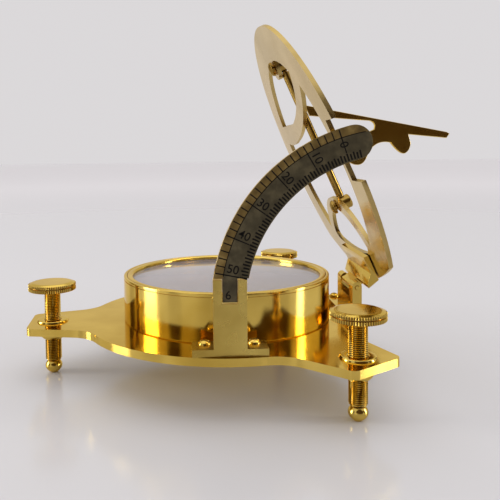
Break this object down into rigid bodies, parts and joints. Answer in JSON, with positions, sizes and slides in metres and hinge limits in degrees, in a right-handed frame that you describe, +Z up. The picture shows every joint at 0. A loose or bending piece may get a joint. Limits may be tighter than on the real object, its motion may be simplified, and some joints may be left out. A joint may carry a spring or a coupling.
{
  "type": "pocket sundial",
  "caption": "Folding equatorial pocket sundial: compass case on a three-lobed base with levelling screws, latitude arc, tilting hour ring and swivelling gnomon.",
  "frame": {"origin": "On the compass axis, at the flat head of the centre rivet under the base plate", "axes": "+X from the compass towards the hour ring's hinge, +Y from the latitude arc towards the compass, +Z up. The feet stand 15.3 mm below the origin."},
  "size_m": [0.157, 0.1331, 0.1255],
  "materials": {
    "brass": "polished and lacquered",
    "pale_brass": "polished",
    "blackened_brass": "blackened face, bright edges",
    "steel": "blued and polished",
    "glass": "clear",
    "dial": "silvered"
  },
  "bodies": {
    "base": {"base_plate": "brass", "screw_bush_left": "brass", "screw_bush_near": "brass", "screw_bush_rear": "brass", "centre_rivet": "brass", "compass_case": "brass", "compass_glass": "glass", "bezel_ring": "brass", "compass_dial": "dial", "needle_pivot": "steel", "level_holder_across": "brass", "level_vial_across": "glass", "level_holder_along": "brass", "level_vial_along": "glass", "arc_post": "brass", "arc_post_screw_left": "brass", "arc_post_screw_right": "brass", "arc_hinge_pin": "brass", "ring_post": "brass", "ring_hinge_pin": "brass", "ring_post_screw_front": "brass", "ring_post_screw_rear": "brass"},
    "needle": {"compass_needle": "steel", "needle_cap": "brass"},
    "arc": {"latitude_arc": "blackened_brass"},
    "ring": {"ring_hinge_block": "brass", "hour_ring": "pale_brass", "gnomon_pivot_top": "brass", "gnomon_pivot_bottom": "brass"},
    "gnomon": {"gnomon_bar": "brass", "gnomon": "brass"},
    "foot_left": {"levelling_foot_left": "brass"},
    "screw_left": {"levelling_screw_left": "brass"},
    "foot_near": {"levelling_foot_near": "brass"},
    "screw_near": {"levelling_screw_near": "brass"},
    "foot_rear": {"levelling_foot_rear": "brass"},
    "screw_rear": {"levelling_screw_rear": "brass"}
  },
  "joints": [
    {"name": "ring_fold", "type": "hinge", "parent": "base", "child": "ring", "pos_m": [0.04665, 0, 0.0149], "axis": [0, 1, 0], "range_deg": [-66, 26]},
    {"name": "gnomon_swing", "type": "hinge", "parent": "ring", "child": "gnomon", "pos_m": [0.03705, 0, 0.06142], "axis": [-0.4067, 0, 0.9135], "range_deg": [-90, 90]},
    {"name": "arc_fold", "type": "hinge", "parent": "base", "child": "arc", "pos_m": [-0.002, -0.0489, 0.0209], "axis": [1, 0, 0], "range_deg": [-3, 90]},
    {"name": "needle_turn", "type": "hinge", "parent": "base", "child": "needle", "pos_m": [0, 0, 0.0108], "axis": [0, 0, 1], "continuous": true},
    {"name": "foot_travel_left", "type": "slide", "parent": "base", "child": "foot_left", "axis": [0, 0, 1], "range_m": [-0.0025, 0.002]},
    {"name": "screw_turn_left", "type": "hinge", "parent": "foot_left", "child": "screw_left", "pos_m": [-0.06387, -0.00402, 0], "axis": [0, 0, 1], "range_deg": [-1510, 1210]},
    {"name": "foot_travel_near", "type": "slide", "parent": "base", "child": "foot_near", "axis": [0, 0, 1], "range_m": [-0.0025, 0.002]},
    {"name": "screw_turn_near", "type": "hinge", "parent": "foot_near", "child": "screw_near", "pos_m": [0.03542, -0.05331, 0], "axis": [0, 0, 1], "range_deg": [-1510, 1210]},
    {"name": "foot_travel_rear", "type": "slide", "parent": "base", "child": "foot_rear", "axis": [0, 0, 1], "range_m": [-0.0025, 0.002]},
    {"name": "screw_turn_rear", "type": "hinge", "parent": "foot_rear", "child": "screw_rear", "pos_m": [0.02846, 0.05733, 0], "axis": [0, 0, 1], "range_deg": [-1510, 1210]}
  ],
  "couplings": [
    {"joint": "screw_turn_left", "follows": "foot_travel_left", "rad_per_m": 10472},
    {"joint": "screw_turn_near", "follows": "foot_travel_near", "rad_per_m": 10472},
    {"joint": "screw_turn_rear", "follows": "foot_travel_rear", "rad_per_m": 10472}
  ]
}
